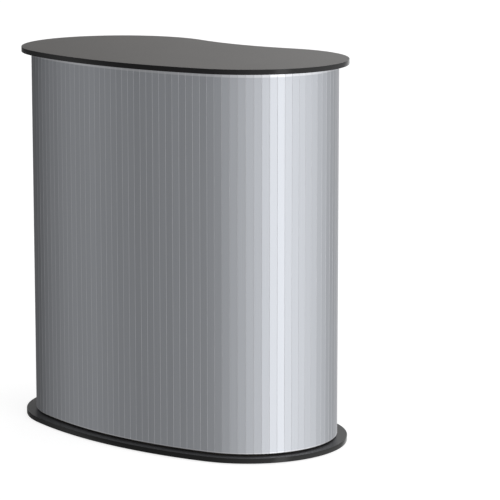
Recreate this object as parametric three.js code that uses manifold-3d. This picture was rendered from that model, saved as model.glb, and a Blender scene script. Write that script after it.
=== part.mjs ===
// Kidney-shaped knock-down lectern podium: two boards, four posts, an inner shelf
// and a wrap of upright tambour slats that is open at the back.
// Millimetres. +Z is up, -Y is the side the audience sees, the origin is on the floor
// under the middle of the object.

import * as THREE from 'three';
import { mergeVertices } from 'three/addons/utils/BufferGeometryUtils.js';
import Module from 'manifold-3d';

const wasm = await Module();
wasm.setup();

// ---- Driving dimensions ----------------------------------------------------------

// Outline of the boards: two end lobes, a long front arc and a shallow hollow at the back
const lobeOffset = 212;
const lobeRadius = 238;
const frontRadius = 1000;
const backRadius = 600;

// Heights
const totalHeight = 920;
const footHeight = 3;
const boardThickness = 12;
const coreThickness = 18;
const shelfTop = 462;
const touchGap = 0.3;

// Distances in from the board's edge
const bandThickness = 1;
const wrapInset = 27;
const tapeThickness = 1.2;
const tapeWidth = 16;
const shelfInset = 37;

// Tambour wrap
const slatPitch = 18.2;
const slatGap = 0.5;
const slatThickness = 3;
const slatChamfer = 0.8;
const liningThickness = 0.8;
const slatsPerSide = 46;
const slatsPerSheet = 16;
const slatsPerEndFold = 3;
const boardClearance = 2.3;
const wrapLift = 2.4;
const trimWall = 1.2;
const trimGrip = 8;

// Posts and their fittings
const postRadius = 12.5;
const postBore = 11;
const roundSides = 20;
const socketBossRadius = 17;
const socketFlangeRadius = 32;
const socketFlangeHeight = 4;
const socketHeight = 26;
const collarRadius = 23;
const collarHeight = 32;
const collarGripCount = 10;
const runningGap = 0.4;
const lockTurn = Math.PI / 2;
const lugReach = 1.6;
const lugHalfAngle = 0.2;
const lugBottom = 15;
const lugTop = 19;
const lipThickness = 5;
const gripDepth = 1.4;
const postHoleGap = 1;
const restRadius = 20;
const restHeight = 14;

// Where the posts stand
const frontPost = { x: 250, y: -135 };
const rearPost = { x: 212, y: 172 };

// Feet
const footRadius = 18;
const footPlaces = {
  foot_front: [0, -205],
  foot_left: [-385, -60],
  foot_right: [385, -60],
  foot_rear_left: [-262, 200],
  foot_rear_right: [262, 200],
};

// ---- Outline ---------------------------------------------------------------------

const frontCentreY = Math.sqrt((frontRadius - lobeRadius) ** 2 - lobeOffset ** 2);
const backCentreY = Math.sqrt((backRadius + lobeRadius) ** 2 - lobeOffset ** 2);
const frontAngle = Math.asin(lobeOffset / (frontRadius - lobeRadius));
const backAngle = Math.asin(lobeOffset / (backRadius + lobeRadius));
const centreShift = (frontRadius - frontCentreY - lobeRadius) / 2;

// A point on the right half of the outline, a set distance in from the board's edge.
// Angles are measured at each arc's own centre.
function onFrontArc(angle, inset) {
  const r = frontRadius - inset;
  return new THREE.Vector2(r * Math.sin(angle), centreShift + frontCentreY - r * Math.cos(angle));
}

function onLobe(angle, inset) {
  const r = lobeRadius - inset;
  return new THREE.Vector2(lobeOffset + r * Math.cos(angle), centreShift + r * Math.sin(angle));
}

function onBackArc(angle, inset) {
  const r = backRadius + inset;
  return new THREE.Vector2(r * Math.sin(angle), centreShift + backCentreY - r * Math.cos(angle));
}

const lobeStart = frontAngle - Math.PI / 2;
const lobeEnd = Math.PI / 2 + backAngle;

function arcPoints(place, from, to, steps, inset) {
  const points = [];
  for (let i = 0; i <= steps; i++) {
    points.push(place(from + (to - from) * i / steps, inset));
  }
  return points;
}

function mirrored(points) {
  return points.map((p) => new THREE.Vector2(-p.x, p.y)).reverse();
}

// The right half runs from the middle of the front to the middle of the back
function closeHalf(right) {
  const left = mirrored(right).slice(1, -1);
  return [...right, ...left];
}

function kidney(inset) {
  const right = [
    ...arcPoints(onFrontArc, 0, frontAngle, 6, inset),
    ...arcPoints(onLobe, lobeStart, lobeEnd, 26, inset).slice(1),
    ...arcPoints(onBackArc, backAngle, 0, 4, inset).slice(1),
  ];
  return closeHalf(right);
}

// ---- Wrap line -------------------------------------------------------------------

// The slats' backs meet at joints spaced one pitch apart along this line.
// Joint 0 is the middle of the front, and joints count up to the right, down to the left.
const frontLength = (frontRadius - wrapInset) * frontAngle;

function jointOnRight(k, inset) {
  const along = k * slatPitch;
  if (along <= frontLength) {
    return onFrontArc(along / (frontRadius - wrapInset), inset);
  }
  return onLobe(lobeStart + (along - frontLength) / (lobeRadius - wrapInset), inset);
}

function joint(k, inset = wrapInset) {
  const point = jointOnRight(Math.abs(k), inset);
  return k < 0 ? new THREE.Vector2(-point.x, point.y) : point;
}

function wrapPoint(k, inset) {
  const whole = Math.floor(k);
  if (k === whole) {
    return joint(whole, inset);
  }
  return joint(whole, inset).lerp(joint(whole + 1, inset), k - whole);
}

function wrapLine(from, to, inset) {
  const points = [wrapPoint(from, inset)];
  for (let k = Math.floor(from) + 1; k < to; k++) {
    points.push(joint(k, inset));
  }
  points.push(wrapPoint(to, inset));
  return points;
}

// A direction along slat k (from joint k to joint k + 1) and the way its face looks
function slatFrame(k) {
  const start = joint(k);
  const along = joint(k + 1).sub(start).normalize();
  const out = new THREE.Vector2(along.y, -along.x);
  const length = joint(k + 1).distanceTo(start);
  return { start, along, out, length };
}

function inFrame(frame, u, w) {
  return frame.start.clone().addScaledVector(frame.along, u).addScaledVector(frame.out, w);
}

// The cores follow the faceted inside of the wrap, then close across the back
function coreOutline(inset) {
  const endAngle = lobeStart + (slatsPerSide * slatPitch - frontLength) / (lobeRadius - wrapInset);
  const right = [
    ...wrapLine(0, slatsPerSide, inset),
    ...arcPoints(onLobe, endAngle, lobeEnd, 5, inset).slice(1),
    ...arcPoints(onBackArc, backAngle, 0, 4, inset).slice(1),
  ];
  return closeHalf(right);
}

// ---- Solids ----------------------------------------------------------------------

function slab(outline, bottom, top, holes = []) {
  const shape = new THREE.Shape(outline);
  shape.holes = holes.map((hole) => new THREE.Path(hole));
  const geometry = new THREE.ExtrudeGeometry(shape, {
    depth: top - bottom,
    bevelEnabled: false,
    steps: 1,
  });
  return geometry.translate(0, 0, bottom);
}

function circle(x, y, radius) {
  const points = [];
  for (let i = 0; i < roundSides; i++) {
    const angle = 2 * Math.PI * i / roundSides;
    points.push(new THREE.Vector2(x + radius * Math.cos(angle), y + radius * Math.sin(angle)));
  }
  return points;
}

// A turned solid about +Z from [radius, height] pairs
function turned(profile) {
  const points = profile.map(([radius, height]) => new THREE.Vector2(radius, height));
  return new THREE.LatheGeometry(points, roundSides).rotateX(Math.PI / 2);
}

function ring(inner, outer, height) {
  return turned([[inner, 0], [outer, 0], [outer, height], [inner, height], [inner, 0]]);
}

// A sector of a ring about +Z, used for bayonet lugs and the channel they run in
function sector(inner, outer, fromAngle, toAngle, bottom, top) {
  const steps = Math.max(2, Math.round((toAngle - fromAngle) / 0.35));
  const points = [];
  for (let i = 0; i <= steps; i++) {
    const angle = fromAngle + (toAngle - fromAngle) * i / steps;
    points.push(new THREE.Vector2(outer * Math.cos(angle), outer * Math.sin(angle)));
  }
  for (let i = steps; i >= 0; i--) {
    const angle = fromAngle + (toAngle - fromAngle) * i / steps;
    points.push(new THREE.Vector2(inner * Math.cos(angle), inner * Math.sin(angle)));
  }
  return slab(points, bottom, top);
}

function toManifold(geometry) {
  const bare = geometry.clone();
  bare.deleteAttribute('normal');
  bare.deleteAttribute('uv');
  const merged = mergeVertices(bare, 1e-4);
  return new wasm.Manifold(new wasm.Mesh({
    numProp: 3,
    vertProperties: new Float32Array(merged.attributes.position.array),
    triVerts: new Uint32Array(merged.index.array),
  }));
}

function fromManifold(solid) {
  const mesh = solid.getMesh();
  const geometry = new THREE.BufferGeometry();
  geometry.setAttribute('position', new THREE.BufferAttribute(mesh.vertProperties, 3));
  geometry.setIndex(new THREE.BufferAttribute(mesh.triVerts, 1));
  geometry.computeVertexNormals();
  return geometry;
}

// ---- Materials -------------------------------------------------------------------

function material(color, roughness, metalness) {
  return new THREE.MeshStandardMaterial({ color, roughness, metalness });
}

const laminate = material(0x55534f, 0.45, 0);
const edging = material(0x1e1e1f, 0.4, 0);
const plywood = material(0xb99b6b, 0.7, 0);
const silver = material(0xb4b5b8, 0.35, 0.8);
const tape = material(0x17171a, 0.95, 0);
const aluminium = material(0xa9abae, 0.3, 0.9);
const nylon = material(0x202124, 0.55, 0);
const rubber = material(0x141414, 0.9, 0);

// ---- Assembly --------------------------------------------------------------------

const podium = new THREE.Group();

function add(name, geometry, finish, parent = podium) {
  const mesh = new THREE.Mesh(geometry, finish);
  mesh.name = name;
  parent.add(mesh);
  return mesh;
}

const baseBottom = footHeight;
const baseTop = baseBottom + boardThickness;
const topBottom = totalHeight - boardThickness;
const baseCoreTop = baseTop + touchGap + coreThickness;
const topCoreBottom = topBottom - touchGap - coreThickness;
const baseTapeBottom = baseTop + boardClearance;
const wrapBottom = baseTapeBottom + wrapLift;
const wrapTop = topBottom - boardClearance;

// Boards, each with an edge band pressed round it
function addBoard(name, bottom) {
  const top = bottom + boardThickness;
  add(`${name}_board`, slab(kidney(bandThickness + touchGap), bottom, top), laminate);
  add(`${name}_edge_band`, slab(kidney(0), bottom, top, [kidney(bandThickness)]), edging);
}

addBoard('base', baseBottom);
addBoard('top', topBottom);

// Offsets of the stacked layers inside the wrap
const hookInset = wrapInset + liningThickness + touchGap;
const loopInset = hookInset + tapeThickness + touchGap;
const coreInset = loopInset + tapeThickness + touchGap;
const topTapeBottom = wrapTop - tapeWidth;

function tapeStrip(from, to, inset, bottom) {
  const outer = wrapLine(from, to, inset);
  const inner = wrapLine(from, to, inset + tapeThickness).reverse();
  return slab([...outer, ...inner], bottom, bottom + tapeWidth);
}

function addCore(name, bottom, tapeBottom) {
  add(`${name}_core_plate`, slab(coreOutline(coreInset), bottom, bottom + coreThickness), plywood);
  const strip = tapeStrip(-slatsPerSide, slatsPerSide, loopInset, tapeBottom);
  add(`${name}_loop_tape`, strip, tape);
}

addCore('base', baseTop + touchGap, baseTapeBottom);
addCore('top', topCoreBottom, topTapeBottom);

// Sheet of slats on a flexible lining, from one joint to another
function slatSheet(from, to) {
  const outline = [];
  for (let k = from; k < to; k++) {
    const frame = slatFrame(k);
    const low = slatGap / 2;
    const high = frame.length - slatGap / 2;
    const shoulder = slatThickness - slatChamfer;
    outline.push(
      inFrame(frame, low, 0),
      inFrame(frame, low, shoulder),
      inFrame(frame, low + slatChamfer, slatThickness),
      inFrame(frame, high - slatChamfer, slatThickness),
      inFrame(frame, high, shoulder),
      inFrame(frame, high, 0),
    );
  }
  const first = slatFrame(from);
  const last = slatFrame(to - 1);
  outline.push(
    inFrame(last, last.length - touchGap / 2, 0),
    inFrame(last, last.length - touchGap / 2, -liningThickness),
  );
  for (let k = to - 1; k > from; k--) {
    outline.push(joint(k, wrapInset + liningThickness));
  }
  outline.push(
    inFrame(first, touchGap / 2, -liningThickness),
    inFrame(first, touchGap / 2, 0),
  );
  return slab(outline, wrapBottom, wrapTop);
}

const sheetNames = ['side_left', 'front_left', 'front', 'front_right', 'side_right'];
const fixedJoints = slatsPerSide - 2 * slatsPerEndFold;
sheetNames.forEach((name, i) => {
  const from = -fixedJoints + i * slatsPerSheet;
  add(`wrap_${name}`, slatSheet(from, from + slatsPerSheet), silver);
});
add('hook_tape_base', tapeStrip(-fixedJoints, fixedJoints, hookInset, baseTapeBottom), tape);
add('hook_tape_top', tapeStrip(-fixedJoints, fixedJoints, hookInset, topTapeBottom), tape);

// U-shaped aluminium trim over the wrap's last slat
function endTrim(side) {
  const last = side > 0 ? slatFrame(slatsPerSide - 1) : slatFrame(-slatsPerSide);
  const place = (u, w) => inFrame(last, side > 0 ? last.length + u : -u, w);
  const inside = -liningThickness - touchGap;
  const outside = slatThickness + touchGap;
  const slotEnd = touchGap;
  const outline = [
    place(-trimGrip, outside),
    place(-trimGrip, outside + trimWall),
    place(slotEnd + trimWall, outside + trimWall),
    place(slotEnd + trimWall, inside - trimWall),
    place(-trimGrip, inside - trimWall),
    place(-trimGrip, inside),
    place(slotEnd, inside),
    place(slotEnd, outside),
  ];
  return slab(side > 0 ? outline.reverse() : outline, wrapBottom, wrapTop);
}

// Each free end of the wrap is two folds of three slats, with tape at top and bottom
const tapeStop = (trimGrip + 2 * touchGap) / slatPitch;
const tapeEnd = touchGap / 2 / slatPitch;

function addWrapEnd(sideName, side) {
  const spans = { fold: fixedJoints, tip: fixedJoints + slatsPerEndFold };
  for (const [part, start] of Object.entries(spans)) {
    const end = start + slatsPerEndFold;
    const cut = part === 'tip' ? tapeStop : tapeEnd;
    const [from, to] = side > 0 ? [start, end] : [-end, -start];
    const tapeFrom = side > 0 ? from + tapeEnd : from + cut;
    const tapeTo = side > 0 ? to - cut : to - tapeEnd;
    add(`wrap_${part}_${sideName}`, slatSheet(from, to), silver);
    add(`${part}_hook_base_${sideName}`, tapeStrip(tapeFrom, tapeTo, hookInset, baseTapeBottom), tape);
    add(`${part}_hook_top_${sideName}`, tapeStrip(tapeFrom, tapeTo, hookInset, topTapeBottom), tape);
  }
  add(`end_trim_${sideName}`, endTrim(side), aluminium);
}

addWrapEnd('left', -1);
addWrapEnd('right', 1);

// Socket: a flanged cup with two bayonet lugs, standing on a core plate
function socketGeometry() {
  const cup = turned([
    [0, 0],
    [socketFlangeRadius, 0],
    [socketFlangeRadius, socketFlangeHeight],
    [socketBossRadius, socketFlangeHeight],
    [socketBossRadius, socketHeight],
    [postRadius + runningGap, socketHeight],
    [postRadius + runningGap, socketFlangeHeight],
    [0, socketFlangeHeight],
  ]);
  let solid = toManifold(cup);
  for (const middle of [0, Math.PI]) {
    const lug = sector(
      socketBossRadius - 0.5,
      socketBossRadius + lugReach,
      middle - lugHalfAngle,
      middle + lugHalfAngle,
      lugBottom,
      lugTop,
    );
    solid = solid.add(toManifold(lug));
  }
  return fromManifold(solid);
}

// Collar: a grip ring whose lip hugs the post. Its channels let the lugs in at one end of
// a quarter turn and hold them at the other.
function collarGeometry() {
  const bottom = socketFlangeHeight + touchGap;
  const top = bottom + collarHeight;
  const grip = [];
  for (let i = 0; i < collarGripCount * 2; i++) {
    const angle = Math.PI * i / collarGripCount;
    const r = collarRadius - (i % 2) * gripDepth;
    grip.push(new THREE.Vector2(r * Math.cos(angle), r * Math.sin(angle)));
  }
  const body = slab(grip, bottom, top, [circle(0, 0, postRadius + touchGap)]);
  const bore = turned([
    [0, 0],
    [socketBossRadius + runningGap, 0],
    [socketBossRadius + runningGap, top - lipThickness],
    [0, top - lipThickness],
  ]);
  let solid = toManifold(body).subtract(toManifold(bore));
  const play = lugHalfAngle + 0.05;
  const low = lugBottom - runningGap;
  const high = lugTop + runningGap;
  const inner = socketBossRadius - 1;
  const outer = socketBossRadius + lugReach + runningGap;
  for (const start of [0, Math.PI]) {
    const from = start - lockTurn - play;
    const channel = sector(inner, outer, from, start + play, low, high);
    const entry = sector(inner, outer, from, from + 2 * play, 0, high);
    solid = solid.subtract(toManifold(channel)).subtract(toManifold(entry));
  }
  return fromManifold(solid);
}

const socket = socketGeometry();
const collar = collarGeometry();
const rest = ring(postRadius + touchGap, restRadius, restHeight);
const baseFittingZ = baseCoreTop + touchGap;
const topFittingZ = topCoreBottom - touchGap;
const postBottom = baseFittingZ + socketFlangeHeight + touchGap;
const postTop = topFittingZ - socketFlangeHeight - touchGap;
const post = ring(postBore, postRadius, postTop - postBottom);

const shelfBottom = shelfTop - boardThickness;

const posts = {
  front_left: [-frontPost.x, frontPost.y],
  front_right: [frontPost.x, frontPost.y],
  rear_left: [-rearPost.x, rearPost.y],
  rear_right: [rearPost.x, rearPost.y],
};

for (const [name, [x, y]] of Object.entries(posts)) {
  const foot = new THREE.Group();
  foot.position.set(x, y, baseFittingZ);
  add(`base_socket_${name}`, socket, nylon, foot);
  add(`base_collar_${name}`, collar, nylon, foot);
  podium.add(foot);

  const head = new THREE.Group();
  head.position.set(x, y, topFittingZ);
  head.rotation.x = Math.PI;
  add(`top_socket_${name}`, socket, nylon, head);
  add(`top_collar_${name}`, collar, nylon, head);
  podium.add(head);

  add(`post_${name}`, post, aluminium).position.set(x, y, postBottom);
  add(`shelf_rest_${name}`, rest, nylon).position.set(x, y, shelfBottom - touchGap - restHeight);
}

// Shelf, threaded over the posts and carried by their rest rings
const postHoles = Object.values(posts).map(([x, y]) => circle(x, y, postRadius + postHoleGap));
const shelfOutline = kidney(shelfInset + bandThickness + touchGap);
add('shelf_board', slab(shelfOutline, shelfBottom, shelfTop, postHoles), laminate);
const shelfBand = slab(kidney(shelfInset), shelfBottom, shelfTop, [kidney(shelfInset + bandThickness)]);
add('shelf_edge_band', shelfBand, edging);

// Rubber feet under the base board
const foot = turned([
  [0, 0],
  [footRadius - 1.5, 0],
  [footRadius, 1],
  [footRadius - 0.6, footHeight - touchGap],
  [0, footHeight - touchGap],
]);
for (const [name, [x, y]] of Object.entries(footPlaces)) {
  add(name, foot, rubber).position.set(x, y, 0);
}

export default podium;
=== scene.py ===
import math
import random

import bpy
from mathutils import Matrix, Vector


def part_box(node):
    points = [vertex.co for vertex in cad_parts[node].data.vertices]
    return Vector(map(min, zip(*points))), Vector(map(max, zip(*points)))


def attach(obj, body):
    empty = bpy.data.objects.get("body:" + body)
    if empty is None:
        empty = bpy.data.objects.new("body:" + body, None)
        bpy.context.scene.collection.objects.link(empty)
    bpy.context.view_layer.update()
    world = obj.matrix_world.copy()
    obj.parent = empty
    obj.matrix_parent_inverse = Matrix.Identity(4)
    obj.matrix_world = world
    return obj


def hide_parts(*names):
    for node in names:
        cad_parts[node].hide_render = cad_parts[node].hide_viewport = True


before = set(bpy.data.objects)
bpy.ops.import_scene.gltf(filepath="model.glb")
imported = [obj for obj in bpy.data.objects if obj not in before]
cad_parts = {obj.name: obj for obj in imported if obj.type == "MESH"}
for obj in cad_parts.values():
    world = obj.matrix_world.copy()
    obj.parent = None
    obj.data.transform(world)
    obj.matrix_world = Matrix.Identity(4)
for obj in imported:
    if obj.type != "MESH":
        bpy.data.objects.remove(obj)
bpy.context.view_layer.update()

random.seed(7)
print("stage 1: frame loaded,", len(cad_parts), "nodes")

mm = 0.001


def objectMode():
    if bpy.context.object and bpy.context.object.mode != "OBJECT":
        bpy.ops.object.mode_set(mode="OBJECT")


def deselectAll():
    objectMode()
    bpy.ops.object.select_all(action="DESELECT")


def activate(piece):
    deselectAll()
    piece.select_set(True)
    bpy.context.view_layer.objects.active = piece


def edit(piece, mode="FACE"):
    activate(piece)
    bpy.ops.object.mode_set(mode="EDIT")
    bpy.ops.mesh.select_mode(type=mode)


def pick(piece, test, kind="FACE"):
    # selects the faces, edges or vertices whose middle passes the test
    edit(piece, kind)
    bpy.ops.object.mode_set(mode="OBJECT")
    mesh = piece.data
    for group in (mesh.vertices, mesh.edges, mesh.polygons):
        group.foreach_set("select", [False] * len(group))
    if kind == "FACE":
        for face in mesh.polygons:
            face.select = test(face.center, face.normal)
    elif kind == "EDGE":
        for edge in mesh.edges:
            a, b = (mesh.vertices[i].co for i in edge.vertices)
            edge.select = test((a + b) / 2, (b - a).normalized())
    else:
        for vertex in mesh.vertices:
            vertex.select = test(vertex.co)
    bpy.ops.object.mode_set(mode="EDIT")


def near(a, b, slack=0.02 * mm):
    return abs(a - b) < slack


def cleanUp(piece):
    bpy.ops.object.mode_set(mode="EDIT")
    bpy.ops.mesh.select_all(action="SELECT")
    bpy.ops.mesh.remove_doubles(threshold=0.005 * mm)
    bpy.ops.mesh.normals_make_consistent(inside=False)
    bpy.ops.object.mode_set(mode="OBJECT")


def settle(piece):
    # puts the object at the origin with its place in its mesh
    activate(piece)
    bpy.ops.object.transform_apply(location=True, rotation=True, scale=True)
    return piece


def smooth(piece, degrees=30):
    activate(piece)
    bpy.ops.object.shade_smooth_by_angle(angle=math.radians(degrees))
    return piece


def applyModifier(piece, kind, **settings):
    activate(piece)
    modifier = piece.modifiers.new(kind.lower(), kind)
    for key, value in settings.items():
        setattr(modifier, key, value)
    bpy.ops.object.modifier_apply(modifier=modifier.name)


def copyOf(piece, name, matrix):
    twin = piece.copy()
    twin.data = piece.data.copy()
    twin.name = name
    bpy.context.scene.collection.objects.link(twin)
    twin.matrix_world = matrix
    return settle(twin)


def joined(pieces, name):
    deselectAll()
    for piece in pieces:
        piece.select_set(True)
    bpy.context.view_layer.objects.active = pieces[0]
    bpy.ops.object.join()
    pieces[0].name = name
    return pieces[0]


def discard(piece):
    bpy.data.objects.remove(piece)


def dress(piece, *materials):
    piece.data.materials.clear()
    for material in materials:
        piece.data.materials.append(material)
    return piece


def place(piece, body, slot, *nodes):
    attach(piece, body)
    if nodes:
        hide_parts(*nodes)
    return piece


def toLinear(code):
    channels = [int(code[i:i + 2], 16) / 255 for i in (1, 3, 5)]
    return tuple(c / 12.92 if c <= 0.04045 else ((c + 0.055) / 1.055) ** 2.4 for c in channels) + (1.0,)


def feed(tree, node, inputs):
    # fills a node's sockets: a node or a socket is linked, anything else is set
    for key, value in inputs.items():
        named = [s for s in node.inputs if s.enabled and s.name == key]
        target = node.inputs[key] if isinstance(key, int) else named[0]
        if isinstance(value, bpy.types.Node):
            value = next(s for s in value.outputs if s.enabled)
        if isinstance(value, bpy.types.NodeSocket):
            tree.links.new(value, target)
        else:
            target.default_value = value


def addNode(tree, kind, inputs=None, **settings):
    node = tree.nodes.new("ShaderNode" + kind)
    for key, value in settings.items():
        setattr(node, key, value)
    feed(tree, node, inputs or {})
    return node


def startMaterial(name, **settings):
    material = bpy.data.materials.new(name)
    material.use_nodes = True
    tree = material.node_tree
    shader = tree.nodes["Principled BSDF"]
    feed(tree, shader, {key.replace("_", " "): value for key, value in settings.items()})
    return material, tree, shader, addNode(tree, "TexCoord").outputs["Object"]


def perMm(x, y=None, z=None):
    # the scale of a pattern that repeats every x, y and z millimetres, or every x in all directions
    return tuple(1 / (size * mm) for size in (x, y or x, z or x))


def brushedSlatMetal():
    # brushed aluminium foil on the slats: fine upright scratches, and each slat a shade of its own
    # (real scratches are about 0.1 mm apart: drawn coarser, so that they show)
    look = dict(colour="#C5C8CD", dark="#B9BCC2", rough=0.35, scratch=0.7, run=300, slatStep=0.035)
    material, tree, shader, coords = startMaterial("brushedSlatMetal", Metallic=1.0)
    lines = addNode(tree, "Mapping", {"Vector": coords,
                                      "Scale": perMm(look["scratch"], look["scratch"], look["run"])})
    fine = addNode(tree, "TexNoise", {"Vector": lines, "Scale": 1.0, "Detail": 3.0})
    foil = addNode(tree, "Mix", {"Factor": fine, "A": toLinear(look["dark"]),
                                 "B": toLinear(look["colour"])},
                   data_type="RGBA")
    tone = addNode(tree, "Attribute", attribute_name="slatTone")
    step = addNode(tree, "MapRange", {"Value": tone.outputs["Fac"], "To Min": 1 - look["slatStep"],
                                      "To Max": 1 + look["slatStep"]})
    colour = addNode(tree, "VectorMath", {0: foil, 1: step}, operation="MULTIPLY")
    rough = addNode(tree, "MapRange", {"Value": fine, "From Min": 0.3, "From Max": 0.7,
                                       "To Min": look["rough"] - 0.03, "To Max": look["rough"] + 0.04})
    normal = addNode(tree, "Bump", {"Height": fine, "Distance": 0.01 * mm, "Strength": 0.35})
    feed(tree, shader, {"Base Color": colour, "Roughness": rough, "Normal": normal})
    return material


def paintedSlatHighlight():
    # painted highlight: the strips down the slats' edges and across their ends are drawn paler, and
    # smoother, so each joint reads as a fine light line and the wall's top and bottom as bright rims
    # (scratches drawn coarser than the real 0.1 mm)
    look = dict(colour="#E0E1E5", dark="#D4D6DA", rough=0.28, scratch=1.2, run=120)
    material, tree, shader, coords = startMaterial("paintedSlatHighlight", Metallic=1.0, Roughness=look["rough"])
    lines = addNode(tree, "Mapping", {"Vector": coords,
                                      "Scale": perMm(look["scratch"], look["scratch"], look["run"])})
    fine = addNode(tree, "TexNoise", {"Vector": lines, "Scale": 1.0, "Detail": 3.0})
    foil = addNode(tree, "Mix", {"Factor": fine, "A": toLinear(look["dark"]),
                                 "B": toLinear(look["colour"])},
                   data_type="RGBA")
    feed(tree, shader, {"Base Color": foil})
    return material


def needledFelt():
    # needled polyester felt bonded to the slats' backs: soft charcoal fibres with no shine
    # (fibres are far finer than this, so the pattern is drawn as tufts of them)
    look = dict(colour="#2C2D30", light="#4A4B50", fibre=1.3, relief=0.3)
    material, tree, shader, coords = startMaterial("needledFelt", Roughness=0.95, Sheen_Weight=0.3)
    spread = addNode(tree, "Mapping", {"Vector": coords,
                                       "Scale": perMm(look["fibre"], look["fibre"], look["fibre"] * 2)})
    fibres = addNode(tree, "TexNoise", {"Vector": spread, "Scale": 1.0, "Detail": 6.0, "Roughness": 0.7})
    strands = addNode(tree, "MapRange", {"Value": fibres, "From Min": 0.3, "From Max": 0.7})
    colour = addNode(tree, "Mix", {"Factor": strands, "A": toLinear(look["colour"]),
                                   "B": toLinear(look["light"])},
                     data_type="RGBA")
    normal = addNode(tree, "Bump", {"Height": fibres, "Distance": look["relief"] * mm})
    feed(tree, shader, {"Base Color": colour, "Normal": normal})
    return material


def satinLaminate(name, colour, fleck, sheen, roughness):
    # high-pressure laminate, satin press texture: near black, greyed by its sheen at low angles
    # (the press plate's grain is about 0.2 mm: drawn coarser, so that it shows)
    look = dict(colour=colour, fleck=fleck, grain=0.9, cloud=110, rough=roughness, relief=0.02)
    material, tree, shader, coords = startMaterial(name, IOR=1.5, Specular_IOR_Level=sheen)
    fine = addNode(tree, "Mapping", {"Vector": coords, "Scale": perMm(look["grain"])})
    grain = addNode(tree, "TexNoise", {"Vector": fine, "Scale": 1.0, "Detail": 5.0, "Roughness": 0.6})
    broad = addNode(tree, "Mapping", {"Vector": coords, "Scale": perMm(look["cloud"])})
    cloud = addNode(tree, "TexNoise", {"Vector": broad, "Scale": 1.0, "Detail": 2.0})
    press = addNode(tree, "Mix", {"Factor": grain, "A": toLinear(look["colour"]),
                                  "B": toLinear(look["fleck"])},
                    data_type="RGBA")
    shade = addNode(tree, "MapRange", {"Value": cloud, "From Min": 0.3, "From Max": 0.7, "To Min": 0.93,
                                       "To Max": 1.07})
    colour = addNode(tree, "VectorMath", {0: press, 1: shade}, operation="MULTIPLY")
    rough = addNode(tree, "MapRange", {"Value": grain, "From Min": 0.3, "From Max": 0.7,
                                       "To Min": look["rough"] - 0.04, "To Max": look["rough"] + 0.05})
    normal = addNode(tree, "Bump", {"Height": grain, "Distance": look["relief"] * mm, "Strength": 0.5})
    feed(tree, shader, {"Base Color": colour, "Roughness": rough, "Normal": normal})
    return material


def slotShadeEdge():
    # painted shade: the plywood's edges drawn matt near-black, with faint streaks, so the slot under the
    # wall stays dark and the plies only just show
    look = dict(colour="#0B0B0B", thin="#161412", streak=2.0, run=40)
    material, tree, shader, coords = startMaterial("slotShadeEdge", Roughness=0.85)
    brushed = addNode(tree, "Mapping", {"Vector": coords,
                                        "Scale": perMm(look["run"], look["run"], look["streak"])})
    streaks = addNode(tree, "TexNoise", {"Vector": brushed, "Scale": 1.0, "Detail": 4.0})
    colour = addNode(tree, "Mix", {"Factor": streaks, "A": toLinear(look["colour"]),
                                   "B": toLinear(look["thin"])},
                     data_type="RGBA")
    normal = addNode(tree, "Bump", {"Height": streaks, "Distance": 0.08 * mm, "Strength": 0.5})
    feed(tree, shader, {"Base Color": colour, "Normal": normal})
    return material


def buffedAbsEdging():
    # extruded ABS edging, buffed after trimming: deep black with a soft lengthways gloss
    # (buffing lines drawn coarser than the real 0.1 mm)
    look = dict(colour="#060607", worn="#0D0D0E", line=0.8, rough=0.12, relief=0.02)
    material, tree, shader, coords = startMaterial("buffedAbsEdging", IOR=1.52, Specular_IOR_Level=0.34)
    drawn = addNode(tree, "Mapping", {"Vector": coords, "Scale": perMm(60, 60, look["line"])})
    lines = addNode(tree, "TexNoise", {"Vector": drawn, "Scale": 1.0, "Detail": 3.0})
    colour = addNode(tree, "Mix", {"Factor": lines, "A": toLinear(look["colour"]),
                                   "B": toLinear(look["worn"])},
                     data_type="RGBA")
    rough = addNode(tree, "MapRange", {"Value": lines, "From Min": 0.3, "From Max": 0.7,
                                       "To Min": look["rough"] - 0.05, "To Max": look["rough"] + 0.1})
    normal = addNode(tree, "Bump", {"Height": lines, "Distance": look["relief"] * mm, "Strength": 0.5})
    feed(tree, shader, {"Base Color": colour, "Roughness": rough, "Normal": normal})
    return material


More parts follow.
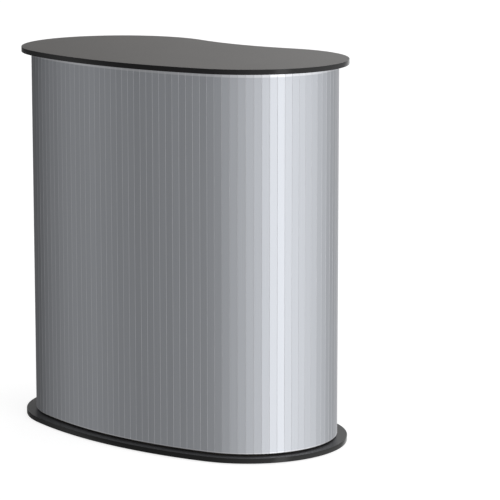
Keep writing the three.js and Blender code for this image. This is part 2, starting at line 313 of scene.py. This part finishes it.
def sandedBirchPly():
    # sanded birch plywood: pale face grain, and thin dark and light plies where its edge shows
    look = dict(pale="#CDB48C", dark="#B3956A", glue="#83653F", ply="#C6AA7E", grain=2.4, run=95,
                plyThickness=1.5)
    material, tree, shader, coords = startMaterial("sandedBirchPly", Roughness=0.6)
    along = addNode(tree, "Mapping", {"Vector": coords,
                                      "Scale": perMm(look["run"], look["grain"], look["grain"])})
    grain = addNode(tree, "TexNoise", {"Vector": along, "Scale": 1.0, "Detail": 6.0, "Roughness": 0.6})
    spread = addNode(tree, "MapRange", {"Value": grain, "From Min": 0.3, "From Max": 0.7})
    face = addNode(tree, "Mix", {"Factor": spread, "A": toLinear(look["dark"]),
                                 "B": toLinear(look["pale"])},
                   data_type="RGBA")
    height = addNode(tree, "SeparateXYZ", {"Vector": coords})
    turns = addNode(tree, "Math", {0: height.outputs["Z"], 1: math.pi / (look["plyThickness"] * mm)},
                    operation="MULTIPLY")
    layers = addNode(tree, "Math", {0: turns}, operation="SINE")
    split = addNode(tree, "MapRange", {"Value": layers, "From Min": -0.2, "From Max": 0.2})
    edge = addNode(tree, "Mix", {"Factor": split, "A": toLinear(look["glue"]),
                                 "B": toLinear(look["ply"])},
                   data_type="RGBA")
    facing = addNode(tree, "SeparateXYZ", {"Vector": addNode(tree, "NewGeometry").outputs["Normal"]})
    flat = addNode(tree, "Math", {0: facing.outputs["Z"]}, operation="ABSOLUTE")
    isFace = addNode(tree, "MapRange", {"Value": flat, "From Min": 0.4, "From Max": 0.6})
    colour = addNode(tree, "Mix", {"Factor": isFace, "A": edge, "B": face}, data_type="RGBA")
    normal = addNode(tree, "Bump", {"Height": grain, "Distance": 0.05 * mm, "Strength": 0.6})
    feed(tree, shader, {"Base Color": colour, "Normal": normal})
    return material


def touchTape(name, colour, light, pile):
    # woven nylon touch tape: matt black, pebbled by its hooks or its finer loops
    material, tree, shader, coords = startMaterial(name, Roughness=0.85, Sheen_Weight=0.2)
    rows = addNode(tree, "Mapping", {"Vector": coords, "Scale": perMm(pile)})
    cells = addNode(tree, "TexVoronoi", {"Vector": rows, "Scale": 1.0})
    ends = addNode(tree, "MapRange", {"Value": cells, "From Min": 0.1, "From Max": 0.7})
    shade = addNode(tree, "Mix", {"Factor": ends, "A": toLinear(light), "B": toLinear(colour)},
                    data_type="RGBA")
    normal = addNode(tree, "Bump", {"Height": cells, "Distance": 0.4 * mm, "Strength": 0.8})
    feed(tree, shader, {"Base Color": shade, "Normal": normal})
    return material


def anodisedAluminium():
    # satin anodised extrusion: cool grey metal with faint drawn lines along its length
    # (drawn lines are about 0.1 mm apart: wider here, so that they show)
    look = dict(colour="#BFC1C4", line="#ABADB1", spacing=0.6, rough=0.28)
    material, tree, shader, coords = startMaterial("anodisedAluminium", Metallic=1.0)
    drawn = addNode(tree, "Mapping", {"Vector": coords,
                                      "Scale": perMm(look["spacing"], look["spacing"], 300)})
    lines = addNode(tree, "TexNoise", {"Vector": drawn, "Scale": 1.0, "Detail": 3.0})
    colour = addNode(tree, "Mix", {"Factor": lines, "A": toLinear(look["line"]),
                                   "B": toLinear(look["colour"])},
                     data_type="RGBA")
    rough = addNode(tree, "MapRange", {"Value": lines, "From Min": 0.3, "From Max": 0.7,
                                       "To Min": look["rough"] - 0.04, "To Max": look["rough"] + 0.08})
    normal = addNode(tree, "Bump", {"Height": lines, "Distance": 0.01 * mm, "Strength": 0.4})
    feed(tree, shader, {"Base Color": colour, "Roughness": rough, "Normal": normal})
    return material


def mouldedNylon(name, colour, light):
    # injection-moulded nylon from a spark-eroded tool: an even fine pebble with a low sheen
    # (the pebble is drawn coarser than the real 0.1 mm)
    look = dict(pebble=0.7, rough=0.48, relief=0.05)
    material, tree, shader, coords = startMaterial(name, IOR=1.53)
    even = addNode(tree, "Mapping", {"Vector": coords, "Scale": perMm(look["pebble"])})
    pebble = addNode(tree, "TexNoise", {"Vector": even, "Scale": 1.0, "Detail": 3.0})
    shade = addNode(tree, "Mix", {"Factor": pebble, "A": toLinear(colour), "B": toLinear(light)},
                    data_type="RGBA")
    rough = addNode(tree, "MapRange", {"Value": pebble, "From Min": 0.3, "From Max": 0.7,
                                       "To Min": look["rough"] - 0.06, "To Max": look["rough"] + 0.08})
    normal = addNode(tree, "Bump", {"Height": pebble, "Distance": look["relief"] * mm, "Strength": 0.6})
    feed(tree, shader, {"Base Color": shade, "Roughness": rough, "Normal": normal})
    return material


def mouldedRubber():
    # compression-moulded rubber feet: dull black, slightly dusty
    look = dict(colour="#121212", dusty="#242321", dust=2.5, relief=0.08)
    material, tree, shader, coords = startMaterial("mouldedRubber", Roughness=0.85, IOR=1.52)
    even = addNode(tree, "Mapping", {"Vector": coords, "Scale": perMm(look["dust"])})
    dust = addNode(tree, "TexNoise", {"Vector": even, "Scale": 1.0, "Detail": 5.0, "Roughness": 0.65})
    colour = addNode(tree, "Mix", {"Factor": dust, "A": toLinear(look["colour"]),
                                   "B": toLinear(look["dusty"])},
                     data_type="RGBA")
    normal = addNode(tree, "Bump", {"Height": dust, "Distance": look["relief"] * mm, "Strength": 0.6})
    feed(tree, shader, {"Base Color": colour, "Normal": normal})
    return material


def zincPlatedSteel():
    # bright zinc-plated screws: cool metal with a blue-grey mottle
    look = dict(colour="#9EA3A8", light="#C2C5C7", mottle=1.8, relief=0.02)
    material, tree, shader, coords = startMaterial("zincPlatedSteel", Metallic=1.0, Roughness=0.3)
    even = addNode(tree, "Mapping", {"Vector": coords, "Scale": perMm(look["mottle"])})
    mottle = addNode(tree, "TexNoise", {"Vector": even, "Scale": 1.0, "Detail": 3.0})
    colour = addNode(tree, "Mix", {"Factor": mottle, "A": toLinear(look["colour"]),
                                   "B": toLinear(look["light"])},
                     data_type="RGBA")
    normal = addNode(tree, "Bump", {"Height": mottle, "Distance": look["relief"] * mm, "Strength": 0.4})
    feed(tree, shader, {"Base Color": colour, "Normal": normal})
    return material


slatMetal = brushedSlatMetal()
# painted highlight: the paler metal of the slats' edge strips and end rims
slatHighlight = paintedSlatHighlight()
felt = needledFelt()
laminate = satinLaminate("satinLaminate", "#3E3A37", "#4C4743", 0.5, 0.33)
shadedBaseLaminate = satinLaminate("shadedBaseLaminate", "#262627", "#303032", 0.42, 0.34)        # painted shade: a blacker copy of the top's laminate for the base board; also duller
edgeShade = slotShadeEdge()
edging = buffedAbsEdging()
plywood = sandedBirchPly()
hookPile = touchTape("hookTape", "#101012", "#2E2E32", 1.6)
loopPile = touchTape("loopTape", "#0D0D0F", "#212125", 1.1)
aluminium = anodisedAluminium()
nylon = mouldedNylon("mouldedNylon", "#1B1C1E", "#27282B")
collarNylon = mouldedNylon("mouldedCollarNylon", "#26272A", "#34363A")
rubber = mouldedRubber()
zinc = zincPlatedSteel()
print("stage 2: materials ready")


boards = dict(lobeRadius=238 * mm, frontRadius=1000 * mm, backRadius=600 * mm, bandWidth=1 * mm,
              frontSteps=28, lobeSteps=84, backSteps=36, seam=0.1 * mm, panelRound=0.15 * mm,
              bandRound=0.3 * mm)
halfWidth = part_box("top_edge_band")[1].x
lobeOffset = round(halfWidth / mm) * mm - boards["lobeRadius"]
frontCentre = math.sqrt((boards["frontRadius"] - boards["lobeRadius"]) ** 2 - lobeOffset ** 2)
backCentre = math.sqrt((boards["backRadius"] + boards["lobeRadius"]) ** 2 - lobeOffset ** 2)
frontAngle = math.asin(lobeOffset / (boards["frontRadius"] - boards["lobeRadius"]))
backAngle = math.asin(lobeOffset / (boards["backRadius"] + boards["lobeRadius"]))
shift = (boards["frontRadius"] - frontCentre - boards["lobeRadius"]) / 2


def startPoint(name, spot):
    # a plane merged to the single vertex that an outline grows from
    deselectAll()
    bpy.ops.mesh.primitive_plane_add(size=mm, location=spot)
    piece = bpy.context.object
    piece.name = name
    settle(piece)
    edit(piece, "VERT")
    bpy.ops.mesh.select_all(action="SELECT")
    bpy.ops.mesh.merge(type="CENTER")
    return piece


def traceKidney(name, inset, z):
    # one vertex spun round each arc in turn, then filled
    piece = startPoint(name, (0, shift + frontCentre - boards["frontRadius"] + inset, z))
    lobeAngle = math.pi - frontAngle + backAngle
    arcs = [
        (0, frontCentre, frontAngle, boards["frontSteps"]),
        (lobeOffset, 0, lobeAngle, boards["lobeSteps"]),
        (0, backCentre, -2 * backAngle, boards["backSteps"]),
        (-lobeOffset, 0, lobeAngle, boards["lobeSteps"]),
        (0, frontCentre, frontAngle, boards["frontSteps"]),
    ]
    for x, y, angle, steps in arcs:
        bpy.ops.mesh.spin(steps=steps, angle=-angle, center=(x, shift + y, z), axis=(0, 0, 1))
    bpy.ops.mesh.select_all(action="SELECT")
    bpy.ops.mesh.remove_doubles(threshold=0.05 * mm)
    bpy.ops.mesh.select_all(action="SELECT")
    bpy.ops.mesh.edge_face_add()
    bpy.ops.object.mode_set(mode="OBJECT")
    return piece


def raiseAll(piece, height):
    edit(piece, "EDGE")
    bpy.ops.mesh.select_all(action="SELECT")
    bpy.ops.mesh.extrude_region_move(TRANSFORM_OT_translate={"value": (0, 0, height)})
    cleanUp(piece)


def roundRims(piece, low, high, radius, segments=3, keep=None):
    # rounds the rim loops at these two heights, or those of them that keep allows
    pick(piece, lambda p, d: abs(d.z) < 0.5 and (near(p.z, low) or near(p.z, high))
         and (not keep or keep(p)), "EDGE")
    bpy.ops.mesh.bevel(offset=radius, segments=segments, profile=0.5, affect="EDGES", clamp_overlap=False)
    bpy.ops.object.mode_set(mode="OBJECT")


def makeBoard(name, node, bandNode, inset, face):
    low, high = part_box(node)[0].z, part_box(node)[1].z
    panel = traceKidney(name + "_panel", inset + boards["bandWidth"] + boards["seam"], low)
    raiseAll(panel, high - low)
    roundRims(panel, low, high, boards["panelRound"], 1)
    band = traceKidney(name + "_band", inset, low)
    edit(band)
    bpy.ops.mesh.select_all(action="SELECT")
    bpy.ops.mesh.inset(thickness=boards["bandWidth"], use_boundary=True)
    bpy.ops.mesh.delete(type="FACE")
    raiseAll(band, high - low)
    roundRims(band, low, high, boards["bandRound"], 2)
    for piece, material in ((panel, face), (band, edging)):
        smooth(piece)
        dress(piece, material)
    place(panel, "podium", "laminate", node)
    place(band, "podium", "edge_band", bandNode)
    return panel, band


topPanel, topBand = makeBoard("top", "top_board", "top_edge_band", 0, laminate)
basePanel, baseBand = makeBoard("base", "base_board", "base_edge_band", 0, shadedBaseLaminate)
for board in (topPanel, topBand, basePanel, baseBand):
    board.visible_glossy = False        # the slats' brushed faces mirror the studio, not these dark rims
print("stage 3: boards made", len(topPanel.data.vertices), "vertices")


inside = dict(coreInset=31.15 * mm, coreRound=0.4 * mm, shelfInset=37 * mm, postHole=13.5 * mm,
              holeSides=48, drillDepth=40 * mm)
postNames = ("front_left", "front_right", "rear_left", "rear_right")


def middleOf(node):
    low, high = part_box(node)
    return (low + high) / 2


for name in ("top", "base"):
    node = name + "_core_plate"
    low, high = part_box(node)[0].z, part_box(node)[1].z
    plate = traceKidney(name + "_core", inside["coreInset"], low)
    raiseAll(plate, high - low)
    roundRims(plate, low, high, inside["coreRound"], 2)
    # painted shade: the plates' edges take the near-black edge material
    dress(smooth(plate), plywood, edgeShade)
    for face in plate.data.polygons:
        face.material_index = 0 if abs(face.normal.z) > 0.9 else 1
    place(plate, "podium", "plywood", node)

shelfPanel, shelfBand = makeBoard("shelf", "shelf_board", "shelf_edge_band", inside["shelfInset"], laminate)
drills = []
for post in postNames:
    deselectAll()
    spot = middleOf("post_" + post)
    spot.z = middleOf("shelf_board").z
    bpy.ops.mesh.primitive_cylinder_add(vertices=inside["holeSides"], radius=inside["postHole"],
                                        depth=inside["drillDepth"], location=spot)
    drills.append(settle(bpy.context.object))
drill = joined(drills, "drill")
applyModifier(shelfPanel, "BOOLEAN", operation="DIFFERENCE", solver="EXACT", object=drill)
discard(drill)
smooth(shelfPanel)
print("stage 4: core plates and shelf made")


wrap = dict(pitch=18.2 * mm, inset=27 * mm, gap=0.04 * mm, thickness=3 * mm, edge=0.22 * mm,
            margin=0.34 * mm, highlightRimLow=2.2 * mm, highlightRimHigh=6.6 * mm, lining=0.8 * mm,
            perSide=46, perSheet=16, perFold=3,
            foldRoom=0.6 * mm)        # taken off the slats beside each fold, so that their edges can turn
wrapLow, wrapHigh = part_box("wrap_front")[0].z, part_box("wrap_front")[1].z
frontRun = (boards["frontRadius"] - wrap["inset"]) * frontAngle


def jointAt(k, inset=wrap["inset"], z=0.0):
    # where slat k - 1 meets slat k, counted from the middle of the front, right side positive
    run = abs(k) * wrap["pitch"]
    if run <= frontRun:
        radius, angle = boards["frontRadius"] - inset, run / (boards["frontRadius"] - wrap["inset"])
        x, y = radius * math.sin(angle), frontCentre - radius * math.cos(angle)
    else:
        turn = (run - frontRun) / (boards["lobeRadius"] - wrap["inset"])
        radius, angle = boards["lobeRadius"] - inset, frontAngle - math.pi / 2 + turn
        x, y = lobeOffset + radius * math.cos(angle), radius * math.sin(angle)
    return Vector((math.copysign(x, k) if k else 0.0, shift + y, z))


def traceLine(name, points):
    # a vertex extruded from point to point
    piece = startPoint(name, points[0])
    for before, after in zip(points, points[1:]):
        bpy.ops.mesh.extrude_region_move(TRANSFORM_OT_translate={"value": after - before})
    bpy.ops.object.mode_set(mode="OBJECT")
    return piece


def makeSlat():
    # a flat strip, its back at y = 0 and its face at -y, with a narrow painted-highlight strip down each
    # side and wider ones across its ends
    width = wrap["pitch"] - wrap["gap"]
    deselectAll()
    bpy.ops.mesh.primitive_cube_add(size=1, location=(wrap["pitch"] / 2, -wrap["thickness"] / 2,
                                                      (wrapLow + wrapHigh) / 2))
    slat = bpy.context.object
    bpy.ops.transform.resize(value=(width, wrap["thickness"], wrapHigh - wrapLow))
    settle(slat)
    front = -wrap["thickness"]
    pick(slat, lambda p, d: near(p.y, front), "EDGE")
    bpy.ops.mesh.bevel(offset=wrap["edge"], segments=2, profile=0.5, affect="EDGES")
    left = (wrap["pitch"] - width) / 2 + wrap["margin"]
    right = wrap["pitch"] - left
    highlightRimLow, highlightRimHigh = wrapLow + wrap["highlightRimLow"], wrapHigh - wrap["highlightRimHigh"]
    cuts = [((left, 0, 0), (1, 0, 0)), ((right, 0, 0), (1, 0, 0)),
            ((0, 0, highlightRimLow), (0, 0, 1)), ((0, 0, highlightRimHigh), (0, 0, 1))]
    for spot, normal in cuts:
        bpy.ops.mesh.select_all(action="SELECT")
        bpy.ops.mesh.bisect(plane_co=spot, plane_no=normal)
    cleanUp(slat)
    slat.data.materials.append(slatMetal)
    slat.data.materials.append(slatHighlight)
    # painted highlight: front faces in the side and end strips take the paler edge metal
    for face in slat.data.polygons:
        x, y, z = face.center
        inPaintedHighlight = x < left or x > right or z < highlightRimLow or z > highlightRimHigh
        face.material_index = 1 if inPaintedHighlight and face.normal.y < -0.1 else 0
    return slat


def slatPlace(k):
    start, end = jointAt(k), jointAt(k + 1)
    along = (end - start).normalized()
    matrix = Matrix.Translation(start) @ Matrix.Rotation(math.atan2(along.y, along.x), 4, "Z")
    if abs(k) in foldJoints or abs(k + 1) in foldJoints:
        middle = Matrix.Translation((wrap["pitch"] / 2, 0, 0))
        ratio = 1 - wrap["foldRoom"] / wrap["pitch"]
        matrix = matrix @ middle @ Matrix.Scale(ratio, 4, (1, 0, 0)) @ middle.inverted()
    return matrix


def makeSheet(name, first, last):
    pieces = []
    for k in range(first, last):
        piece = copyOf(slat, f"slat{k}", slatPlace(k))
        tone = piece.data.attributes.new("slatTone", "FLOAT", "POINT")
        tone.data.foreach_set("value", [random.random()] * len(piece.data.vertices))
        pieces.append(piece)
    middle = wrap["inset"] + wrap["lining"] / 2
    lining = traceLine("lining", [jointAt(k, middle, wrapLow) for k in range(first, last + 1)])
    raiseAll(lining, wrapHigh - wrapLow)
    applyModifier(lining, "SOLIDIFY", thickness=wrap["lining"], offset=0)
    dress(lining, felt)
    return smooth(joined(pieces + [lining], name), 40)


slat = makeSlat()
fixed = wrap["perSide"] - 2 * wrap["perFold"]
foldJoints = (fixed, fixed + wrap["perFold"])
sheets = ("side_left", "front_left", "front", "front_right", "side_right")
for i, name in enumerate(sheets):
    first = -fixed + i * wrap["perSheet"]
    sheet = makeSheet("slats_" + name, first, first + wrap["perSheet"])
    place(sheet, "podium", "slats", "wrap_" + name)
for side, sign in (("left", -1), ("right", 1)):
    for part, start in (("fold", fixed), ("tip", fixed + wrap["perFold"])):
        first, last = sorted((sign * start, sign * (start + wrap["perFold"])))
        sheet = makeSheet(f"slats_{part}_{side}", first, last)
        place(sheet, f"wrap_{part}_{side}", "slats", f"wrap_{part}_{side}")
discard(slat)


trim = dict(wall=1.2 * mm, grip=8 * mm, clear=0.3 * mm, rounding=0.35 * mm)


def makeTrim(side, sign):
    # a U section that grips the last slat's free edge
    end, before = jointAt(sign * wrap["perSide"]), jointAt(sign * (wrap["perSide"] - 1))
    along = (end - before).normalized()
    out = Vector((along.y, -along.x, 0)) * sign
    face, back = wrap["thickness"] + trim["clear"], -wrap["lining"] - trim["clear"]
    lip, stop, wall = -trim["grip"], trim["clear"], trim["wall"]
    corners = [(lip, face), (lip, face + wall), (stop + wall, face + wall), (stop + wall, back - wall),
               (lip, back - wall), (lip, back), (stop, back), (stop, face)]
    points = [end + along * u + out * w + Vector((0, 0, wrapLow)) for u, w in corners]
    piece = traceLine("trim_" + side, points)
    edit(piece, "EDGE")
    bpy.ops.mesh.select_all(action="SELECT")
    bpy.ops.mesh.edge_face_add()
    raiseAll(piece, wrapHigh - wrapLow)
    pick(piece, lambda p, d: True, "EDGE")
    bpy.ops.mesh.bevel(offset=trim["rounding"], segments=2, affect="EDGES")
    dress(smooth(piece, 40), aluminium)
    place(piece, "wrap_tip_" + side, "aluminium", "end_trim_" + side)


makeTrim("left", -1)
makeTrim("right", 1)
for name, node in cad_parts.items():
    if "hook" in name:
        dress(node, hookPile)
    elif "loop" in name:
        dress(node, loopPile)
print("stage 5: wrap made")


socketSize = dict(sides=64, boss=17 * mm, bore=12.9 * mm, flange=32 * mm, flangeHeight=4 * mm,
                  bossHeight=22 * mm, floor=0.2 * mm, rounding=0.7 * mm, lugReach=1.6 * mm, lugLow=15 * mm,
                  lugHigh=19 * mm, lugAngle=0.2, screwCircle=27.6 * mm, screwCount=3)
collarSize = dict(radius=23 * mm, gap=0.3 * mm, height=32 * mm, bore=17.4 * mm, lip=5 * mm,
                  lipHole=12.8 * mm, rounding=1.2 * mm, flutes=20, fluteDepth=1.1 * mm)
postSize = dict(radius=12.5 * mm, bore=11 * mm, rounding=0.3 * mm, sides=64)
restSize = dict(radius=20 * mm, bore=12.8 * mm, height=14 * mm, rounding=0.8 * mm, sides=64,
                screwSeat=19.6 * mm)


def cylinder(name, radius, low, high, sides):
    deselectAll()
    bpy.ops.mesh.primitive_cylinder_add(vertices=sides, radius=radius, depth=high - low,
                                        location=(0, 0, (low + high) / 2))
    piece = bpy.context.object
    piece.name = name
    return settle(piece)


def radiusOf(point):
    return math.hypot(point.x, point.y)


def openCap(piece, z, up, thickness):
    # insets an end cap and takes out its middle
    pick(piece, lambda p, n: near(p.z, z) and n.z * up > 0.9 and radiusOf(p) < 0.1 * mm)
    bpy.ops.mesh.inset(thickness=thickness)
    bpy.ops.mesh.delete(type="FACE")


def bridgeHole(piece, radius):
    pick(piece, lambda p, d: abs(d.z) < 0.5 and near(radiusOf(p), radius, 0.2 * mm), "EDGE")
    bpy.ops.mesh.bridge_edge_loops()


def makeTube(name, size, low, high):
    tube = cylinder(name, size["radius"], low, high, size["sides"])
    openCap(tube, high, 1, size["radius"] - size["bore"])
    openCap(tube, low, -1, size["radius"] - size["bore"])
    bridgeHole(tube, size["bore"])
    roundRims(tube, low, high, size["rounding"], 2)
    cleanUp(tube)
    return smooth(tube)


def makeSocket():
    # a screwed flange, a boss with a blind bore for the post, and two bayonet lugs on the boss
    size = socketSize
    base, rim = size["flangeHeight"], size["flangeHeight"] + size["bossHeight"]
    piece = cylinder("socket", size["flange"], 0, base, size["sides"])
    pick(piece, lambda p, n: n.z > 0.9)
    bpy.ops.mesh.inset(thickness=size["flange"] - size["boss"])
    bpy.ops.mesh.extrude_region_move(TRANSFORM_OT_translate={"value": (0, 0, rim - base)})
    bpy.ops.mesh.inset(thickness=size["boss"] - size["bore"])
    bpy.ops.mesh.extrude_region_move(TRANSFORM_OT_translate={"value": (0, 0, base - rim + size["floor"])})
    roundRims(piece, base, rim, size["rounding"], 2, lambda p: radiusOf(p) > size["boss"] - 0.2 * mm)
    for z in (size["lugLow"], size["lugHigh"]):
        pick(piece, lambda p, n: abs(n.z) < 0.1 and near(radiusOf(p), size["boss"], 0.1 * mm))
        bpy.ops.mesh.bisect(plane_co=(0, 0, z), plane_no=(0, 0, 1))
    middle = (size["lugLow"] + size["lugHigh"]) / 2
    pick(piece, lambda p, n: near(p.z, middle, mm) and near(radiusOf(p), size["boss"], 0.1 * mm)
         and abs(math.atan2(p.y, abs(p.x))) < size["lugAngle"])
    bpy.ops.mesh.extrude_region_shrink_fatten(TRANSFORM_OT_shrink_fatten={"value": size["lugReach"]})
    cleanUp(piece)
    return dress(smooth(piece), nylon)


def makeCollar():
    # a fluted lock ring, wide inside for the lugs, with a lip that closes round the post
    size = collarSize
    low = socketSize["flangeHeight"] + size["gap"]
    high = low + size["height"]
    sides = size["flutes"] * 3
    piece = cylinder("collar", size["radius"], low, high, sides)
    roundRims(piece, low, high, size["rounding"], 3)
    step = 2 * math.pi / sides
    pick(piece, lambda p, n: abs(n.z) < 0.01 and round(math.atan2(p.y, p.x) / step - 0.5) % 3 == 0)
    bpy.ops.mesh.extrude_region_shrink_fatten(TRANSFORM_OT_shrink_fatten={"value": -size["fluteDepth"]})
    capRadius = size["radius"] - size["rounding"]
    openCap(piece, high, 1, capRadius - size["lipHole"])
    pick(piece, lambda p, n: near(p.z, low) and n.z < -0.9 and radiusOf(p) < 0.1 * mm)
    bpy.ops.mesh.inset(thickness=capRadius - size["bore"])
    bpy.ops.mesh.extrude_region_move(TRANSFORM_OT_translate={"value": (0, 0, size["height"] - size["lip"])})
    bpy.ops.mesh.inset(thickness=size["bore"] - size["lipHole"])
    bpy.ops.mesh.delete(type="FACE")
    bridgeHole(piece, size["lipHole"])
    cleanUp(piece)
    return dress(smooth(piece), collarNylon)


screw = dict(head=3.8 * mm, height=2.2 * mm, rounding=1.3 * mm, slot=0.9 * mm, reach=2.3 * mm,
             depth=1.1 * mm, sides=32)


def makeScrew():
    # pan head with a cross recess, its seat at z = 0
    head = cylinder("screw", screw["head"], 0, screw["height"], screw["sides"])
    roundRims(head, screw["height"], screw["height"], screw["rounding"], 4)
    blades = []
    for long, wide in ((screw["reach"] * 2, screw["slot"]), (screw["slot"], screw["reach"] * 2)):
        deselectAll()
        bpy.ops.mesh.primitive_cube_add(size=1, location=(0, 0, screw["height"]))
        bpy.ops.transform.resize(value=(long, wide, screw["depth"] * 2))
        blade = settle(bpy.context.object)
        applyModifier(head, "BOOLEAN", operation="DIFFERENCE", solver="EXACT", object=blade)
        blades.append(blade)
    for blade in blades:
        discard(blade)
    return dress(smooth(head), zinc)


socket, collar, screwHead = makeSocket(), makeCollar(), makeScrew()
rest = dress(makeTube("rest", restSize, 0, restSize["height"]), nylon)
screws = []


def addScrew(x, y, z, tilt=None):
    turn = Matrix.Rotation(random.uniform(0, math.pi), 4, "Z")
    matrix = Matrix.Translation((x, y, z)) @ (tilt or Matrix.Identity(4)) @ turn
    screws.append(copyOf(screwHead, "screw", matrix))


flip = Matrix.Rotation(math.pi, 4, "X")
sideways = Matrix.Rotation(-math.pi / 2, 4, "X")
for post in postNames:
    spot = middleOf("post_" + post)
    low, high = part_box("post_" + post)[0].z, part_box("post_" + post)[1].z
    tube = makeTube("tube_" + post, postSize, low, high)
    tube.matrix_world = Matrix.Translation((spot.x, spot.y, 0))
    dress(settle(tube), aluminium)
    place(tube, "podium", "aluminium", "post_" + post)
    for end, tilt in (("base", Matrix.Identity(4)), ("top", flip)):
        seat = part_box(f"{end}_socket_{post}")[0 if end == "base" else 1].z
        matrix = Matrix.Translation((spot.x, spot.y, seat)) @ tilt
        cup = copyOf(socket, f"{end}_cup_{post}", matrix)
        place(cup, "podium", "nylon", f"{end}_socket_{post}")
        lock = copyOf(collar, f"{end}_lock_ring_{post}", matrix)
        place(lock, f"{end}_collar_{post}", "nylon_collar", f"{end}_collar_{post}")
        lift = socketSize["flangeHeight"] * (1 if end == "base" else -1)
        for i in range(socketSize["screwCount"]):
            angle = math.pi / 6 + 2 * math.pi * i / socketSize["screwCount"]
            reach = socketSize["screwCircle"]
            addScrew(spot.x + reach * math.cos(angle), spot.y + reach * math.sin(angle), seat + lift, tilt)
    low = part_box("shelf_rest_" + post)[0].z
    ring = copyOf(rest, "rest_ring_" + post, Matrix.Translation((spot.x, spot.y, low)))
    place(ring, "podium", "nylon", "shelf_rest_" + post)
    addScrew(spot.x, spot.y + restSize["screwSeat"], low + restSize["height"] / 2, sideways)

coreScrews = [(0.0, -0.17), (0.0, 0.16), (-0.14, -0.16), (0.14, -0.16), (-0.33, -0.07), (0.33, -0.07),
              (-0.33, 0.10), (0.33, 0.10)]        # metres from the middle, through both core plates
baseSeat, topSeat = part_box("base_core_plate")[1].z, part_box("top_core_plate")[0].z
for x, y in coreScrews:
    addScrew(x, y, baseSeat)
    addScrew(x, y, topSeat, flip)
screwSet = joined(screws, "screws")
for pattern in (socket, collar, rest, screwHead):
    discard(pattern)
place(screwSet, "podium", "aluminium")
print("stage 6: posts and fittings made")


pad = dict(radius=18 * mm, rounding=0.7 * mm, land=5 * mm, groove=0.6 * mm, ring=5.3 * mm,
           recess=1.6 * mm, sides=64)


def makeFoot(height):
    foot = cylinder("foot", pad["radius"], 0, height, pad["sides"])
    roundRims(foot, 0, 0, pad["rounding"], 3)
    pick(foot, lambda p, n: near(p.z, 0) and n.z < -0.9)
    for step in ("land", "groove", "ring"):
        bpy.ops.mesh.inset(thickness=pad[step])
    bpy.ops.mesh.extrude_region_move(TRANSFORM_OT_translate={"value": (0, 0, pad["recess"])})
    cleanUp(foot)
    return dress(smooth(foot), rubber)


for node in sorted(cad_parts):
    if node.startswith("foot_"):
        low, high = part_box(node)
        foot = makeFoot(high.z - low.z)
        middle = (low + high) / 2
        foot.matrix_world = Matrix.Translation((middle.x, middle.y, low.z))
        foot.name = "pad_" + node[5:]
        place(settle(foot), "podium", "rubber", node)
print("stage 7: feet made")


view = dict(place=(4.3734, -4.6226, 1.6130), turn=0.73055, down=0.18252, lens=192.26, clipEnd=100)
deselectAll()
bpy.ops.object.camera_add(location=view["place"], rotation=(math.pi / 2 - view["down"], 0, view["turn"]))
camera = bpy.context.object
camera.data.lens = view["lens"]
camera.data.clip_end = view["clipEnd"]
bpy.context.scene.camera = camera


paper = dict(size=60, dark="#A6A6A6", light="#ACACAC", glow=0.8, grain=25)


def whiteFloor():
    # seamless white paper: lit enough to stay white, with a faint grain
    material, tree, shader, coords = startMaterial("paperFloor", Roughness=0.95,
                                                   Emission_Strength=paper["glow"])
    even = addNode(tree, "Mapping", {"Vector": coords, "Scale": perMm(paper["grain"])})
    grain = addNode(tree, "TexNoise", {"Vector": even, "Scale": 1.0, "Detail": 2.0})
    colour = addNode(tree, "Mix", {"Factor": grain, "A": toLinear(paper["dark"]),
                                   "B": toLinear(paper["light"])}, data_type="RGBA")
    feed(tree, shader, {"Base Color": colour, "Emission Color": (1.0, 1.0, 1.0, 1.0)})
    return material


deselectAll()
bpy.ops.mesh.primitive_plane_add(size=paper["size"], location=(0, 0, 0))
floor = bpy.context.object
floor.name = "floor"
floor.visible_glossy = False        # the slats mirror the studio, not the paper
dress(floor, whiteFloor())

# how bright the studio is in each direction, in degrees from the front towards the right side
studio = dict(strength=1.0, tint=(1.0, 1.0, 1.0),
              levels={-180: 0.45, -166: 0.64, -148: 0.84, -132: 0.3, -112: 0.12, -86: 0.14, -74: 0.22,
                      -60: 0.46, -48: 0.36, -36: 0.28, -20: 0.35, 8: 0.5, 34: 0.74, 58: 0.98, 71: 1.15,
                      76: 2.1, 86: 2.05, 92: 1.25, 108: 1.24, 125: 1.16, 145: 0.95, 180: 0.45})


def lightStudio():
    # a soft grey studio: a bright panel to the right, darker walls to the left and behind
    world = bpy.data.worlds.new("studio")
    bpy.context.scene.world = world
    world.use_nodes = True
    tree = world.node_tree
    axes = addNode(tree, "SeparateXYZ", {"Vector": addNode(tree, "TexCoord").outputs["Generated"]})
    back = addNode(tree, "Math", {0: axes.outputs["Y"], 1: -1.0}, operation="MULTIPLY")
    azimuth = addNode(tree, "Math", {0: axes.outputs["X"], 1: back}, operation="ARCTAN2")
    position = addNode(tree, "MapRange", {"Value": azimuth, "From Min": -math.pi, "From Max": math.pi})
    ramp = addNode(tree, "ValToRGB", {"Fac": position})
    ramp.color_ramp.interpolation = "CARDINAL"
    stops = ramp.color_ramp.elements
    brightest = max(studio["levels"].values())
    stops.remove(stops[1])
    for degrees, level in studio["levels"].items():
        stop = stops[0] if degrees == -180 else stops.new((degrees + 180) / 360)
        stop.color = tuple(c * level / brightest for c in studio["tint"]) + (1.0,)
    background = tree.nodes["Background"]
    feed(tree, background, {"Color": ramp.outputs["Color"], "Strength": brightest * studio["strength"]})
    backdrop = addNode(tree, "Background", {"Color": (1.0, 1.0, 1.0, 1.0), "Strength": 1.0})
    seen = addNode(tree, "LightPath").outputs["Is Camera Ray"]
    shown = addNode(tree, "MixShader", {0: seen, 1: background, 2: backdrop})
    feed(tree, tree.nodes["World Output"], {"Surface": shown})


lightStudio()
bpy.context.scene.view_settings.view_transform = "Standard"

print("stage 8: camera, floor and light set")
